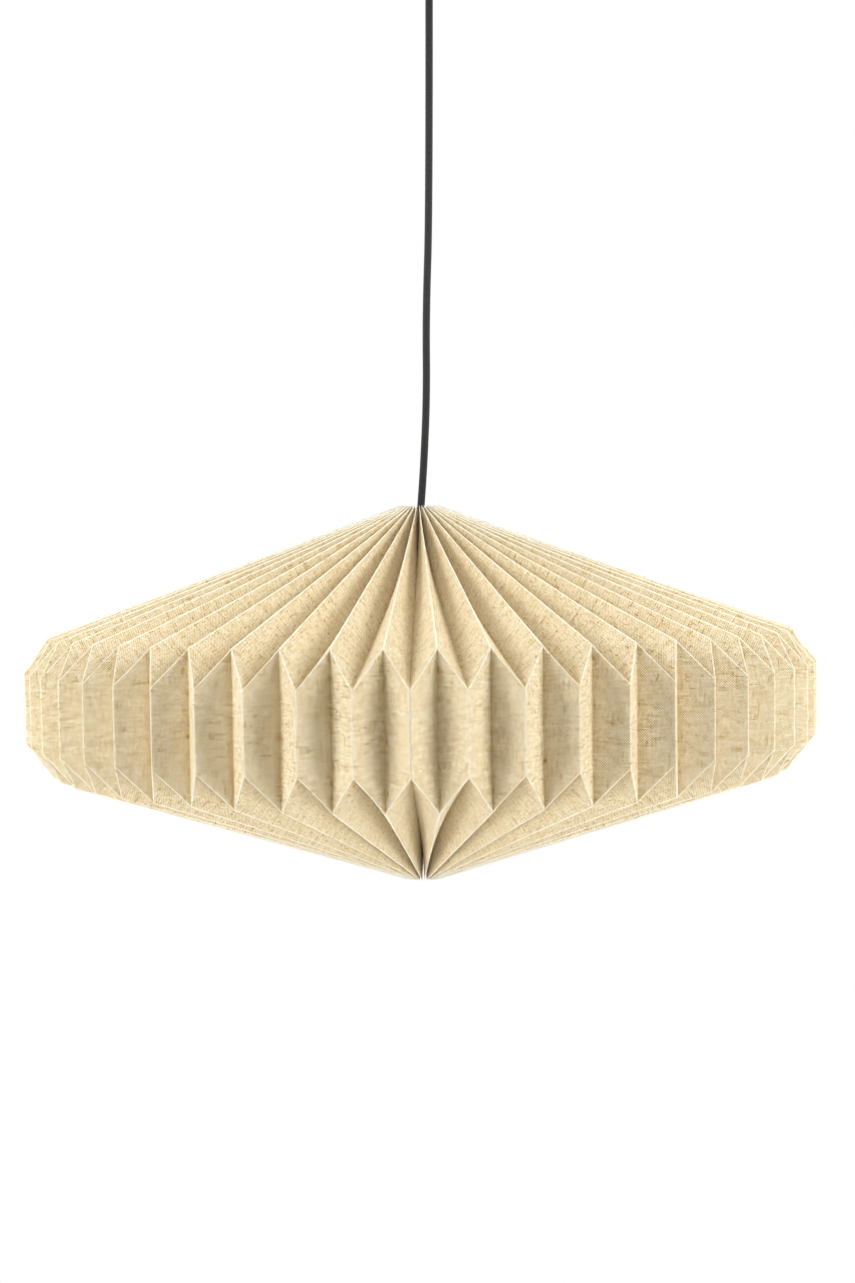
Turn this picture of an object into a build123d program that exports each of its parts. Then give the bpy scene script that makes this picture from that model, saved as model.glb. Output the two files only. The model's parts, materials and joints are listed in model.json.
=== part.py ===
"""A pendant lamp: a folded linen shade that hangs on a black textile cord from a ceiling hook.

Millimetres, with Z up, X to the right and Y away from the viewer. The origin is the middle of
the upper face of the ceiling strap, and everything hangs below it. Heights of the lamp itself
are counted from the middle plane of the shade.
"""

import os
from math import asin, atan2, cos, degrees, pi, radians, sin, sqrt, tan

from build123d import *

# Where the lamp hangs
shade_drop = 606.0  # from the ceiling down to the middle plane of the shade
shade_aside = -14.0  # the shade's axis stands to the left of the hook, as the cord leans

# The folded sheet
pleats = 56
sheet_names = ("shade_front_right", "shade_back_right", "shade_back_left", "shade_front_left")
mountain_radius = 300.0  # the band's outer folds
fold_depth = 17.0  # from the band's outer folds in to its inner ones
band_half_height = 25.5  # half the length of an outer fold of the band
neck_radius = 16.5  # the ridges' upper ends
sheet = 0.4  # linen bonded to its backing
blunt_fold = 0.4  # how far a tight fold reaches past the middle of the sheet
ring_shares = (0.35, 0.68, 0.88, 1.0)  # where along a ridge the sheet is measured
lacing_inset = 12.0  # from the sheet's cut edge to the lacing
lacing_radius = 0.6

# The wire carrier that the pleats rest on
hoop_radius = 70.0
carrier_wire = 1.5
carrier_arms = 3
seat_gap = 0.3  # a piece and its seat at rest
washer_radius = 27.0
washer_thickness = 1.5

# The cord, by points aside of the hook and their heights: first below the ceiling, then above
# the top of the lampholder, where it wanders to the lamp's axis
cord_radius = 2.9
cord_top = -39.0
cord_hang = [(0, cord_top), (-2.3, -228)]
cord_fall = [(-6.2, 175), (-6.4, 114), (-9.4, 60), (-12.4, 25), (-13.95, 4)]
squeeze = 0.1  # how far a clamp bites into the cord

# Ceiling strap and hook
strap_length = 78.0
strap_width = 22.0
strap_thickness = 2.0
strap_lip = 2.5
slot_spacing = 60.0
slot_length = 10.0
slot_width = 5.0
boss_radius = 5.0
boss_height = 2.0
hook_wire = 1.5
hook_bend = 3.0
hook_loop = 5.0
hook_shank_end = -6.0
hook_mouth = 20.0  # degrees above the level where the open end stops
shank_clearance = 0.05
nut_width = 5.5
nut_height = 1.8

# Hanging ring and cord hanger
link_gap = 0.15  # between the hook and the ring
eye_play = 0.4  # between the ring and the eye, which is as deep as the hanger is thick
ring_radius = 5.0
ring_wire = 1.0
eye_hole = 2.4
eye_wall = 2.0
hanger_thickness = 3.0
hanger_width = 22.0
leg_width = 3.0
bar_height = 8.0
bar_depth = 5.3
clamp_opening = 0.4
clamp_screw_spacing = 14.0
screw_radius = 1.5
screw_clearance = 0.05
head_radius = 2.7
head_height = 1.8

# Conductors and terminal block
wire_radius = 1.05
sheath_gap = 0.1  # between the cut end of the cord's sheath and the bare conductors
wire_bend = 6.5
wire_level = -31.5
terminal_y = -27.0
terminal_pitch = 8.0
terminal_length = 16.0
terminal_height = 9.0
tube_bore = 1.6
tube_wall = 0.9
tube_play = 0.1
terminal_screw_spacing = 7.0

# Canopy
canopy_radius = 45.0
canopy_foot_radius = 42.5
canopy_height = 46.0
rim_gap = 4.0
canopy_wall = 1.5
canopy_corner = 7.0
collar_radius = 8.0
collar_end_radius = 6.5
collar_length = 16.0
collar_play = 1.6  # between the cord and the collar
set_screw_radius = 2.0
running_play = 0.05

# Lampholder, from its top down
grip_under_neck = 5.65  # from the valleys' upper ends down to the cord grip
grip_radius = 6.5
grip_height = 12.0
stub_radius = 4.9
stub_length = 8.0
sheath_out = 1.0  # how far the cord's sheath comes out of the stub
thread_play = 0.1
cap_radius = 21.5
cap_neck_radius = 9.0
cap_neck_height = 4.0
cap_rise = 14.0  # from the cap's shoulder up to its top
cap_skirt = 12.8
holder_wall = 1.8
body_radius = 19.4
body_length = 52.0
body_rise = 9.0  # the body above its flange
flange_height = 3.0
part_gap = 0.2  # between stacked parts of the holder
insert_radius = 17.2
insert_depth = 8.0  # from the body's rim down to the insert
insert_height = 14.0
contact_recess = 3.0  # in the insert, above the centre contact
shell_radius = 14.1
shell_wall = 0.6
shell_height = 21.0
contact_width = 6.0
contact_thickness = 0.6
terminal_aside = 8.5
shade_ring_height = 9.0
shade_ring_radius = 27.0
shade_ring_play = 0.3
grip_ribs = 24
grip_rib_radius = 1.2

# Bulb
bulb_radius = 30.0
bulb_cap_radius = 13.1
bulb_cap_length = 19.5
bulb_tip_length = 5.0
collar_height = 27.5
bulb_neck_radius = 22.5
bulb_tip_radius = 4.4
bulb_glass = 1.2

os.makedirs("parts", exist_ok=True)


def save(piece, name):
    """Label a finished piece and write its file."""
    piece.part.label = name
    export_step(piece.part, f"parts/{name}.step")


# The folding of the sheet. Every fold line lies in an upright plane through the shade's axis.
# Ridges of the cones and inner folds of the band share a plane, and so do the cones' valleys
# and the band's outer folds. On the flat sheet the zigzag crease runs at 45 degrees, which
# settles the slope of the cones.
fold_angle = pi / pleats
valley_radius = mountain_radius - fold_depth  # the band's inner folds
panel_width = sqrt(
    mountain_radius**2
    + valley_radius**2
    - 2 * mountain_radius * valley_radius * cos(fold_angle)
)
cone_slope = 2 * atan2(panel_width, mountain_radius * cos(fold_angle) - valley_radius) - pi / 2
crease_height = band_half_height + panel_width  # where a ridge starts, above the middle
ridge_length = (valley_radius - neck_radius) / cos(cone_slope)
along = (-cos(cone_slope), sin(cone_slope))  # up a ridge, as (outwards, up)
outwards = (sin(cone_slope), cos(cone_slope))  # square to a ridge


def ridge_point(distance):
    """A point of a ridge at a distance up from the zigzag crease, as (radius, height)."""
    return (
        valley_radius + distance * along[0],
        crease_height + distance * along[1],
    )


def valley_point(distance):
    """The valley point across the panel, one panel width away and square to the ridge."""
    radius, height = ridge_point(distance)
    turn, rise = cos(fold_angle), sin(cone_slope)
    square = turn**2 + (rise * sin(fold_angle)) ** 2
    level = radius**2 - (rise * panel_width) ** 2
    opposite = (radius * turn - sqrt((radius * turn) ** 2 - square * level)) / square
    return opposite, height - (radius - opposite * turn) / tan(cone_slope)


def shifted(point, reach):
    return point[0] + reach * outwards[0], point[1] + reach * outwards[1]


def fold_reach(opposite_radius):
    """How far the sheet's faces stand from a fold: inside it, past it, and half its blunt edge."""
    half_fold = opposite_radius * sin(fold_angle) / panel_width
    inside = sheet / 2 / half_fold
    past = min(inside, blunt_fold)
    blunt = (sheet / 2 - past * half_fold) / cos(asin(half_fold))
    return inside, past, blunt


def corner(point, band_reach, cone_reach):
    """Where a face of the band meets a face of the cone, in the plane of a fold."""
    radius, height = shifted(point, cone_reach)
    slide = (radius - point[0] - band_reach) / cos(cone_slope)
    return point[0] + band_reach, height + slide * sin(cone_slope)


def sheet_rings():
    """The sheet's faces at the crease and up the cone: the ridge outside and inside with the
    half width of its edge, and the valley outside and inside with the half width of its edge."""
    band_valley, band_mountain = fold_reach(mountain_radius)[0], fold_reach(valley_radius)[0]
    ridge_inside = fold_reach(valley_point(0)[0])[0]
    valley_inside = fold_reach(ridge_point(-panel_width)[0])[0]
    inner, outer = (valley_radius, crease_height), (mountain_radius, band_half_height)
    rings = [
        (
            corner(inner, band_valley, ridge_inside),
            corner(inner, -band_valley, -ridge_inside),
            0,
            corner(outer, band_mountain, valley_inside),
            corner(outer, -band_mountain, -valley_inside),
            0,
        )
    ]
    for share in ring_shares:
        ridge, valley = ridge_point(share * ridge_length), valley_point(share * ridge_length)
        inside, past, blunt = fold_reach(valley[0])
        valley_inside, valley_past, valley_blunt = fold_reach(ridge[0])
        rings.append(
            (
                shifted(ridge, past),
                shifted(ridge, -inside),
                blunt,
                shifted(valley, valley_inside),
                shifted(valley, -valley_past),
                valley_blunt,
            )
        )
    return rings


def spot(turn, point, aside, side):
    """A point of the sheet, by its fold's turn from the front, and upper (1) or lower (-1) half."""
    radius, height = point
    return Vector(
        shade_aside + radius * sin(turn) + aside * cos(turn),
        -radius * cos(turn) + aside * sin(turn),
        -shade_drop + side * height,
    )


def flat_face(*corners):
    """A flat face through the corners, or none where they fall together."""
    kept = [p for i, p in enumerate(corners) if (p - corners[i - 1]).length > 1e-6]
    return [Face(Wire.make_polygon(kept))] if len(kept) > 2 else []


def panel_faces(valley_turn, ridge_turn, rings):
    """All faces of one panel between the fold planes of a valley and a ridge, but not its sides."""
    inwards = 1 if ridge_turn > valley_turn else -1
    faces, crease = [], {}
    for side in (1, -1):
        rows = []
        for ridge_out, ridge_in, ridge_edge, valley_out, valley_in, valley_edge in rings:
            rows.append(
                [
                    spot(valley_turn, valley_out, 0, side),
                    spot(ridge_turn, ridge_out, -inwards * ridge_edge, side),
                    spot(ridge_turn, ridge_out, 0, side),
                    spot(ridge_turn, ridge_in, 0, side),
                    spot(valley_turn, valley_in, inwards * valley_edge, side),
                    spot(valley_turn, valley_in, 0, side),
                ]
            )
        for low, high in zip(rows, rows[1:]):
            for ridge, valley in ((1, 0), (3, 4)):
                faces += flat_face(low[ridge], low[valley], high[valley])
                faces += flat_face(low[ridge], high[valley], high[ridge])
            for a, b in ((1, 2), (4, 5)):
                faces += flat_face(low[a], low[b], high[b], high[a])
        top = rows[-1]
        for a, b, c in ((0, 1, 3), (0, 3, 4), (1, 2, 3), (4, 5, 0)):
            faces += flat_face(top[a], top[b], top[c])
        crease[side] = rows[0]
    for a, b in ((0, 1), (3, 4)):
        faces += flat_face(crease[1][a], crease[1][b], crease[-1][b], crease[-1][a])
    return faces


def seam_face(turn, rings):
    """The sheet's upright edge, in the plane of a valley."""
    upper = [spot(turn, ring[3], 0, 1) for ring in rings[::-1]]
    lower = [spot(turn, ring[3], 0, -1) for ring in rings]
    lower_in = [spot(turn, ring[4], 0, -1) for ring in rings[::-1]]
    upper_in = [spot(turn, ring[4], 0, 1) for ring in rings]
    return flat_face(*upper, *lower, *lower_in, *upper_in)


def folded_sheet(first_pleat, count):
    """A closed solid of folded sheet that runs over a number of pleats from a valley plane."""
    rings = sheet_rings()
    faces = []
    for pleat in range(first_pleat, first_pleat + count):
        ridge_turn = (2 * pleat + 1) * fold_angle
        faces += panel_faces(2 * pleat * fold_angle, ridge_turn, rings)
        faces += panel_faces((2 * pleat + 2) * fold_angle, ridge_turn, rings)
    faces += seam_face(2 * first_pleat * fold_angle, rings)
    faces += seam_face(2 * (first_pleat + count) * fold_angle, rings)
    return Solid(Shell(faces))


def sheet_underside(at_radius):
    """The height of a cone valley's lower edge at a distance from the shade's axis."""
    edge = [ring[4] for ring in sheet_rings()]
    for (far, low), (near, high) in zip(edge, edge[1:]):
        if near <= at_radius <= far:
            return low + (high - low) * (far - at_radius) / (far - near)
    return edge[-1][1]


# Heights of the lampholder above the middle of the shade, from the valleys' upper ends down
grip_top = valley_point(ridge_length)[1] - grip_under_neck
cap_top = grip_top - grip_height
cord_end = cap_top - stub_length - sheath_out
cap_shoulder = cap_top - cap_rise
cap_foot = cap_shoulder - cap_skirt
flange_top = cap_foot - part_gap
flange_foot = flange_top - flange_height
body_top = flange_top + body_rise
body_foot = body_top - body_length
insert_top = body_top - insert_depth
insert_foot = insert_top - insert_height

# The lamp's own axis and planes
lamp_axis = Axis((shade_aside, 0, 0), (0, 0, 1))
lamp_profile = Plane((shade_aside, 0, -shade_drop), x_dir=(1, 0, 0), z_dir=(0, -1, 0))


def lamp_level(height):
    """A level plane on the lamp's axis, at a height above the middle of the shade."""
    return Plane((shade_aside, 0, height - shade_drop))


# The shade is four sheets that meet in valley planes at the front, the sides and the back
sheet_pleats = pleats // len(sheet_names)
for number, sheet_name in enumerate(sheet_names):
    with BuildPart() as shade_sheet:
        add(folded_sheet(number * sheet_pleats, sheet_pleats))
    save(shade_sheet, sheet_name)

# A lacing thread draws the pleats together just inside each neck
laced = ridge_length - lacing_inset
laced_ridge, laced_valley = ridge_point(laced), valley_point(laced)
laced_radius = (laced_ridge[0] + laced_valley[0]) / 2
laced_height = (laced_ridge[1] + laced_valley[1]) / 2
for lacing_name, side in (("top_lacing", 1), ("bottom_lacing", -1)):
    with BuildPart() as lacing:
        with Locations(lamp_level(side * laced_height)):
            Torus(laced_radius, lacing_radius)
    save(lacing, lacing_name)

# The wire carrier: a washer on the holder and a hoop under the valley folds
washer_top = flange_foot - part_gap
washer_foot = washer_top - washer_thickness
hoop_height = sheet_underside(hoop_radius) - (carrier_wire + seat_gap) / cos(cone_slope)
arm_height = washer_foot + carrier_wire
arm_start = cap_radius + carrier_wire + part_gap
arm_knee = (arm_start + 2 * hoop_radius) / 3
with BuildPart() as shade_carrier:
    with BuildSketch(lamp_level(washer_foot)):
        Circle(washer_radius)
        Circle(body_radius + shade_ring_play, mode=Mode.SUBTRACT)
    extrude(amount=washer_thickness)
    for arm in range(carrier_arms):
        turn = 2 * pi * arm / carrier_arms + pi / 2
        arm_plane = Plane(
            (shade_aside, 0, -shade_drop),
            x_dir=(cos(turn), sin(turn), 0),
            z_dir=(sin(turn), -cos(turn), 0),
        )
        with BuildLine(arm_plane) as arm_line:
            FilletPolyline(
                (arm_start, arm_height),
                (arm_knee, arm_height),
                (hoop_radius, hoop_height),
                radius=6 * carrier_wire,
            )
        with BuildSketch(Plane(arm_line.line @ 0, z_dir=arm_line.line % 0)):
            Circle(carrier_wire)
        sweep(path=arm_line.line)
    with Locations(lamp_level(hoop_height)):
        Torus(hoop_radius, carrier_wire)
save(shade_carrier, "shade_carrier")

# The cord hangs straight for as long as the view shows it straight, then wanders to the holder
cord_route = [(aside, 0, height) for aside, height in cord_hang]
cord_route += [(aside, 0, grip_top + height - shade_drop) for aside, height in cord_fall]
cord_route += [(shade_aside, 0, cord_end - shade_drop)]
runs = [(Vector(*b) - Vector(*a)) for a, b in zip(cord_route, cord_route[1:])]
cord_bends = [
    0.45 * min(run.length, following.length) / tan(radians(run.get_angle(following)) / 2)
    for run, following in zip(runs, runs[1:])
]
with BuildPart() as pendant_cord:
    with BuildLine() as cord_line:
        FilletPolyline(*cord_route, radius=cord_bends)
    with BuildSketch(Plane(cord_line.line @ 0, z_dir=cord_line.line % 0)):
        Circle(cord_radius)
    sweep(path=cord_line.line)
cord_length = sum(edge.length for edge in cord_line.edges())
cord_share = pendant_cord.part.volume / (pi * cord_radius**2 * cord_length)
print("cord bend radii", [round(bend) for bend in cord_bends], "length", round(cord_length, 1))
print("cord volume over section times length", round(cord_share, 4))
save(pendant_cord, "pendant_cord")

# The strap that is screwed to the ceiling, with side lips and a boss for the hook
strap_skin = strap_thickness / 2  # left whole above the hook's thread
boss_foot = -strap_thickness - boss_height
with BuildPart() as ceiling_strap:
    with BuildSketch():
        SlotOverall(strap_length, strap_width)
        with GridLocations(slot_spacing, 0, 2, 1):
            SlotOverall(slot_length, slot_width, mode=Mode.SUBTRACT)
    extrude(amount=-strap_thickness)
    with BuildSketch(Plane.XY.offset(-strap_thickness)):
        with GridLocations(0, strap_width - strap_thickness, 1, 2):
            Rectangle(strap_length - strap_width, strap_thickness)
    extrude(amount=-strap_lip)
    with BuildSketch(Plane.XY.offset(boss_foot)):
        Circle(boss_radius)
    extrude(amount=boss_height)
    with BuildSketch(Plane.XY.offset(boss_foot)):
        Circle(hook_wire + shank_clearance)
    extrude(amount=-boss_foot - strap_skin, mode=Mode.SUBTRACT)
save(ceiling_strap, "ceiling_strap")

# The hook: a shank that swings aside and then round under itself
bend_drop = sqrt(hook_loop**2 + 2 * hook_loop * hook_bend)
bend_turn = degrees(atan2(bend_drop, hook_bend))
hook_centre = hook_shank_end - bend_drop
shank_top = -strap_skin - shank_clearance
with BuildPart() as ceiling_hook:
    with BuildLine(Plane.XZ) as hook_line:
        Line((0, shank_top), (0, hook_shank_end))
        CenterArc((-hook_bend, hook_shank_end), hook_bend, 0, -bend_turn)
        CenterArc((0, hook_centre), hook_loop, 180 - bend_turn, 180 + bend_turn + hook_mouth)
    with BuildSketch(Plane((0, 0, shank_top), z_dir=(0, 0, -1))):
        Circle(hook_wire)
    sweep(path=hook_line.line)
    mouth = radians(hook_mouth)
    with Locations((hook_loop * cos(mouth), 0, hook_centre + hook_loop * sin(mouth))):
        Sphere(hook_wire)
save(ceiling_hook, "ceiling_hook")

with BuildPart() as hook_nut:
    with BuildSketch(Plane.XY.offset(boss_foot)):
        RegularPolygon(nut_width / 2, 6, major_radius=False)
        Circle(hook_wire + shank_clearance, mode=Mode.SUBTRACT)
    extrude(amount=-nut_height)
save(hook_nut, "hook_nut")

# The ring hangs in the hook, and the hanger's eye hangs in the ring
hook_seat = hook_centre - hook_loop
ring_centre = hook_seat + hook_wire + link_gap - (ring_radius - ring_wire)
ring_seat = ring_centre - ring_radius
eye_centre = ring_seat + ring_wire + eye_play - eye_hole
with BuildPart() as hanging_ring:
    with Locations((0, 0, ring_centre)):
        Torus(ring_radius, ring_wire, rotation=(0, 90, 0))
save(hanging_ring, "hanging_ring")

# The cord hanger: an eye and two legs that carry the rear half of a clamp
eye_radius = eye_hole + eye_wall
bar_foot = cord_top - bar_height
window_top = eye_centre - eye_radius - part_gap
shoulder = window_top - leg_width / 2
cord_grip_radius = cord_radius - squeeze
bar_middle = cord_top - bar_height / 2
with BuildPart() as cord_hanger:
    with BuildSketch(Plane.XZ):
        with Locations((0, eye_centre)):
            Circle(eye_radius)
        with BuildLine():
            Polyline(
                (-eye_radius, eye_centre),
                (eye_radius, eye_centre),
                (hanger_width / 2, shoulder),
                (hanger_width / 2, bar_foot),
                (-hanger_width / 2, bar_foot),
                (-hanger_width / 2, shoulder),
                close=True,
            )
        make_face()
        with Locations((0, (window_top + cord_top) / 2)):
            Rectangle(hanger_width - 2 * leg_width, window_top - cord_top, mode=Mode.SUBTRACT)
        with Locations((0, eye_centre)):
            Circle(eye_hole, mode=Mode.SUBTRACT)
    extrude(amount=hanger_thickness / 2, both=True)
    with BuildSketch(Plane.XY.offset(cord_top)):
        with Locations((0, (bar_depth + clamp_opening / 2) / 2)):
            Rectangle(hanger_width, bar_depth - clamp_opening / 2)
    extrude(amount=-bar_height)
    with BuildSketch(Plane.XY.offset(cord_top)):
        with Locations((0, clamp_opening / 2 - bar_depth)):
            Rectangle(2 * hanger_width, 2 * bar_depth)
        Circle(cord_grip_radius)
    extrude(amount=-bar_height, mode=Mode.SUBTRACT)
    with BuildSketch(Plane.XZ):
        with Locations((0, bar_middle)):
            with GridLocations(clamp_screw_spacing, 0, 2, 1):
                Circle(screw_radius + screw_clearance)
    extrude(amount=-bar_depth, mode=Mode.SUBTRACT)
save(cord_hanger, "cord_hanger")

with BuildPart() as clamp_bar:
    with BuildSketch(Plane.XY.offset(cord_top)):
        with Locations((0, -(bar_depth + clamp_opening / 2) / 2)):
            Rectangle(hanger_width, bar_depth - clamp_opening / 2)
        Circle(cord_grip_radius, mode=Mode.SUBTRACT)
    extrude(amount=-bar_height)
    with BuildSketch(Plane.XZ):
        with Locations((0, bar_middle)):
            with GridLocations(clamp_screw_spacing, 0, 2, 1):
                Circle(screw_radius + screw_clearance)
    extrude(amount=bar_depth, mode=Mode.SUBTRACT)
save(clamp_bar, "clamp_bar")

with BuildPart() as clamp_screws:
    with BuildSketch(Plane.XZ.offset(bar_depth)):
        with Locations((0, bar_middle)):
            with GridLocations(clamp_screw_spacing, 0, 2, 1):
                Circle(screw_radius)
    extrude(amount=-2 * bar_depth + screw_radius)
    with BuildSketch(Plane.XZ.offset(bar_depth)):
        with Locations((0, bar_middle)):
            with GridLocations(clamp_screw_spacing, 0, 2, 1):
                Circle(head_radius)
    extrude(amount=head_height)
    with BuildSketch(Plane.XZ.offset(bar_depth + head_height)):
        with Locations((0, bar_middle)):
            with GridLocations(clamp_screw_spacing, 0, 2, 1):
                Rectangle(2 * head_radius, head_height / 3)
    extrude(amount=-head_height / 2, mode=Mode.SUBTRACT)
save(clamp_screws, "clamp_screws")

# Two conductors rise out of the clamped cord and turn forward into the terminal block
terminal_mouth = terminal_y + terminal_length / 2
wire_apart = wire_radius + part_gap
wire_end = terminal_mouth - terminal_length / 3
with BuildPart() as supply_conductors:
    for side in (-1, 1):
        with BuildLine() as wire_line:
            FilletPolyline(
                (side * wire_apart, 0, cord_top + sheath_gap),
                (side * wire_apart, 0, wire_level),
                (side * terminal_pitch / 2, wire_end, wire_level),
                radius=wire_bend,
            )
        with BuildSketch(Plane.XY.offset(cord_top + sheath_gap)):
            with Locations((side * wire_apart, 0)):
                Circle(wire_radius)
        sweep(path=wire_line.line)
save(supply_conductors, "supply_conductors")

# The terminal block: two barrels joined by a web, each with a brass tube and two screws
tube_radius = tube_bore + tube_wall
barrel_width = terminal_pitch - tube_wall
terminal_front = Plane.XZ.offset(-terminal_mouth)
terminal_top = Plane((0, terminal_y, wire_level + terminal_height / 2))
screw_well = screw_radius + tube_play
tower_height = terminal_height / 4
with BuildPart() as terminal_block:
    with BuildSketch(terminal_front):
        with Locations((0, wire_level)):
            with GridLocations(terminal_pitch, 0, 2, 1):
                RectangleRounded(barrel_width, terminal_height, tube_wall)
            Rectangle(terminal_pitch, terminal_height / 2)
            with GridLocations(terminal_pitch, 0, 2, 1):
                Circle(tube_radius + tube_play, mode=Mode.SUBTRACT)
    extrude(amount=terminal_length)
    with BuildSketch(terminal_top):
        with GridLocations(terminal_pitch, terminal_screw_spacing, 2, 2):
            Circle(tube_radius)
    extrude(amount=tower_height)
    with BuildSketch(terminal_top.offset(tower_height)):
        with GridLocations(terminal_pitch, terminal_screw_spacing, 2, 2):
            Circle(screw_well)
    extrude(amount=-tower_height - terminal_height / 2, mode=Mode.SUBTRACT)
save(terminal_block, "terminal_block")

tube_length = terminal_length - 2 * tube_wall
with BuildPart() as terminal_tubes:
    with BuildSketch(terminal_front.offset(tube_wall)):
        with Locations((0, wire_level)):
            with GridLocations(terminal_pitch, 0, 2, 1):
                Circle(tube_radius)
                Circle(tube_bore, mode=Mode.SUBTRACT)
    extrude(amount=tube_length)
    with BuildSketch(terminal_top):
        with GridLocations(terminal_pitch, terminal_screw_spacing, 2, 2):
            Circle(screw_radius + screw_clearance)
    extrude(amount=-terminal_height / 2, mode=Mode.SUBTRACT)
save(terminal_tubes, "terminal_tubes")

screw_tip = wire_level + wire_radius + tube_play
screw_top = wire_level + terminal_height / 2 + tower_height - tube_play
with BuildPart() as terminal_screws:
    with BuildSketch(Plane((0, terminal_y, screw_tip))):
        with GridLocations(terminal_pitch, terminal_screw_spacing, 2, 2):
            Circle(screw_radius)
    extrude(amount=screw_top - screw_tip)
    with BuildSketch(Plane((0, terminal_y, screw_top))):
        with GridLocations(terminal_pitch, terminal_screw_spacing, 2, 2):
            Rectangle(2 * screw_radius, screw_radius / 3)
    extrude(amount=-screw_radius / 2, mode=Mode.SUBTRACT)
save(terminal_screws, "terminal_screws")

# The canopy: a cup that hangs on the cord by its collar and covers the hook
canopy_foot = -rim_gap - canopy_height
set_screw_height = canopy_foot - collar_length / 2
collar_bore = cord_radius + collar_play
with BuildPart() as canopy_cup:
    for wall, mode in ((0, Mode.ADD), (canopy_wall, Mode.SUBTRACT)):
        with BuildSketch(Plane.XZ) as cup_profile:
            with BuildLine():
                Polyline(
                    (0, -rim_gap),
                    (canopy_radius - wall, -rim_gap),
                    (canopy_foot_radius - wall, canopy_foot + wall),
                    (0, canopy_foot + wall),
                    close=True,
                )
            make_face()
            foot_corner = cup_profile.vertices().group_by(Axis.Y)[0].sort_by(Axis.X)[-1]
            fillet(foot_corner, canopy_corner - wall)
        revolve(axis=Axis.Z, mode=mode)
    with BuildSketch(Plane.XZ):
        with BuildLine():
            Polyline(
                (0, canopy_foot + canopy_wall),
                (collar_radius, canopy_foot + canopy_wall),
                (collar_radius, canopy_foot),
                (collar_end_radius, canopy_foot - collar_length),
                (0, canopy_foot - collar_length),
                close=True,
            )
        make_face()
    revolve(axis=Axis.Z)
    with BuildSketch(Plane.XY.offset(canopy_foot - collar_length)):
        Circle(collar_bore)
    extrude(amount=collar_length + 2 * canopy_wall, mode=Mode.SUBTRACT)
    with BuildSketch(Plane.XZ):
        with Locations((0, set_screw_height)):
            Circle(set_screw_radius + running_play)
    extrude(amount=2 * collar_radius, mode=Mode.SUBTRACT)
save(canopy_cup, "canopy_cup")

# The set screw bites on the cord and holds the canopy up
set_screw_tip = cord_radius + seat_gap
set_screw_length = collar_radius - set_screw_tip
with BuildPart() as canopy_set_screw:
    with BuildSketch(Plane.XZ.offset(set_screw_tip)):
        with Locations((0, set_screw_height)):
            Circle(set_screw_radius)
    extrude(amount=set_screw_length)
    with BuildSketch(Plane.XZ.offset(collar_radius)):
        with Locations((0, set_screw_height)):
            Rectangle(2 * set_screw_radius, set_screw_radius / 3)
    extrude(amount=-set_screw_radius / 2, mode=Mode.SUBTRACT)
save(canopy_set_screw, "canopy_set_screw")

# The lampholder's cord grip, with the screw that pinches the cord
grip_bore = cord_radius + thread_play
grip_screw_height = grip_top - grip_height / 2
grip_side = Plane(
    (shade_aside, 0, grip_screw_height - shade_drop), x_dir=(0, 1, 0), z_dir=(1, 0, 0)
)
with BuildPart() as cord_grip:
    with BuildSketch(lamp_level(cap_top)):
        RegularPolygon(grip_radius, 6, major_radius=False)
    extrude(amount=grip_height)
    chamfer(cord_grip.faces().sort_by(Axis.Z)[-1].edges(), grip_radius / 8)
    with BuildSketch(lamp_level(cap_top - stub_length)):
        Circle(stub_radius)
    extrude(amount=stub_length)
    with BuildSketch(lamp_level(cap_top - stub_length)):
        Circle(grip_bore)
    extrude(amount=stub_length + grip_height, mode=Mode.SUBTRACT)
    with BuildSketch(grip_side):
        Circle(screw_radius + screw_clearance)
    extrude(amount=2 * grip_radius, mode=Mode.SUBTRACT)
save(cord_grip, "cord_grip")

with BuildPart() as cord_grip_screw:
    with BuildSketch(grip_side.offset(grip_bore + screw_clearance)):
        Circle(screw_radius)
    extrude(amount=grip_radius - grip_bore + head_height)
save(cord_grip_screw, "cord_grip_screw")

# The holder's cap, a dome over the wiring
cap_bore = body_radius + thread_play
dome_foot = cap_top - cap_neck_height
with BuildPart() as holder_cap:
    with BuildSketch(lamp_profile):
        with BuildLine():
            Polyline(
                (stub_radius + thread_play, cap_top),
                (cap_neck_radius, cap_top),
                (cap_neck_radius, dome_foot),
            )
            RadiusArc((cap_neck_radius, dome_foot), (cap_radius, cap_shoulder), cap_radius)
            Polyline(
                (cap_radius, cap_shoulder),
                (cap_radius, cap_foot),
                (cap_bore, cap_foot),
                (cap_bore, cap_shoulder),
            )
            RadiusArc(
                (cap_bore, cap_shoulder),
                (cap_neck_radius, dome_foot - holder_wall),
                -cap_bore,
            )
            Polyline(
                (cap_neck_radius, dome_foot - holder_wall),
                (stub_radius + thread_play, dome_foot - holder_wall),
                (stub_radius + thread_play, cap_top),
            )
        make_face()
    revolve(axis=lamp_axis)
save(holder_cap, "holder_cap")

# The holder's body, with the flange that the shade carrier is pressed against
shell_room = shell_radius + part_gap + seat_gap
insert_room = insert_radius + thread_play
with BuildPart() as holder_body:
    with BuildSketch(lamp_profile):
        with BuildLine():
            Polyline(
                (shell_room, body_foot),
                (body_radius, body_foot),
                (body_radius, flange_foot),
                (cap_radius, flange_foot),
                (cap_radius, flange_top),
                (body_radius, flange_top),
                (body_radius, body_top),
                (insert_room, body_top),
                (insert_room, insert_foot),
                (shell_room, insert_foot),
                close=True,
            )
        make_face()
    revolve(axis=lamp_axis)
    chamfer(holder_body.edges().filter_by(GeomType.CIRCLE).sort_by(Axis.Z)[:2], shell_wall)
save(holder_body, "holder_body")

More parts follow.
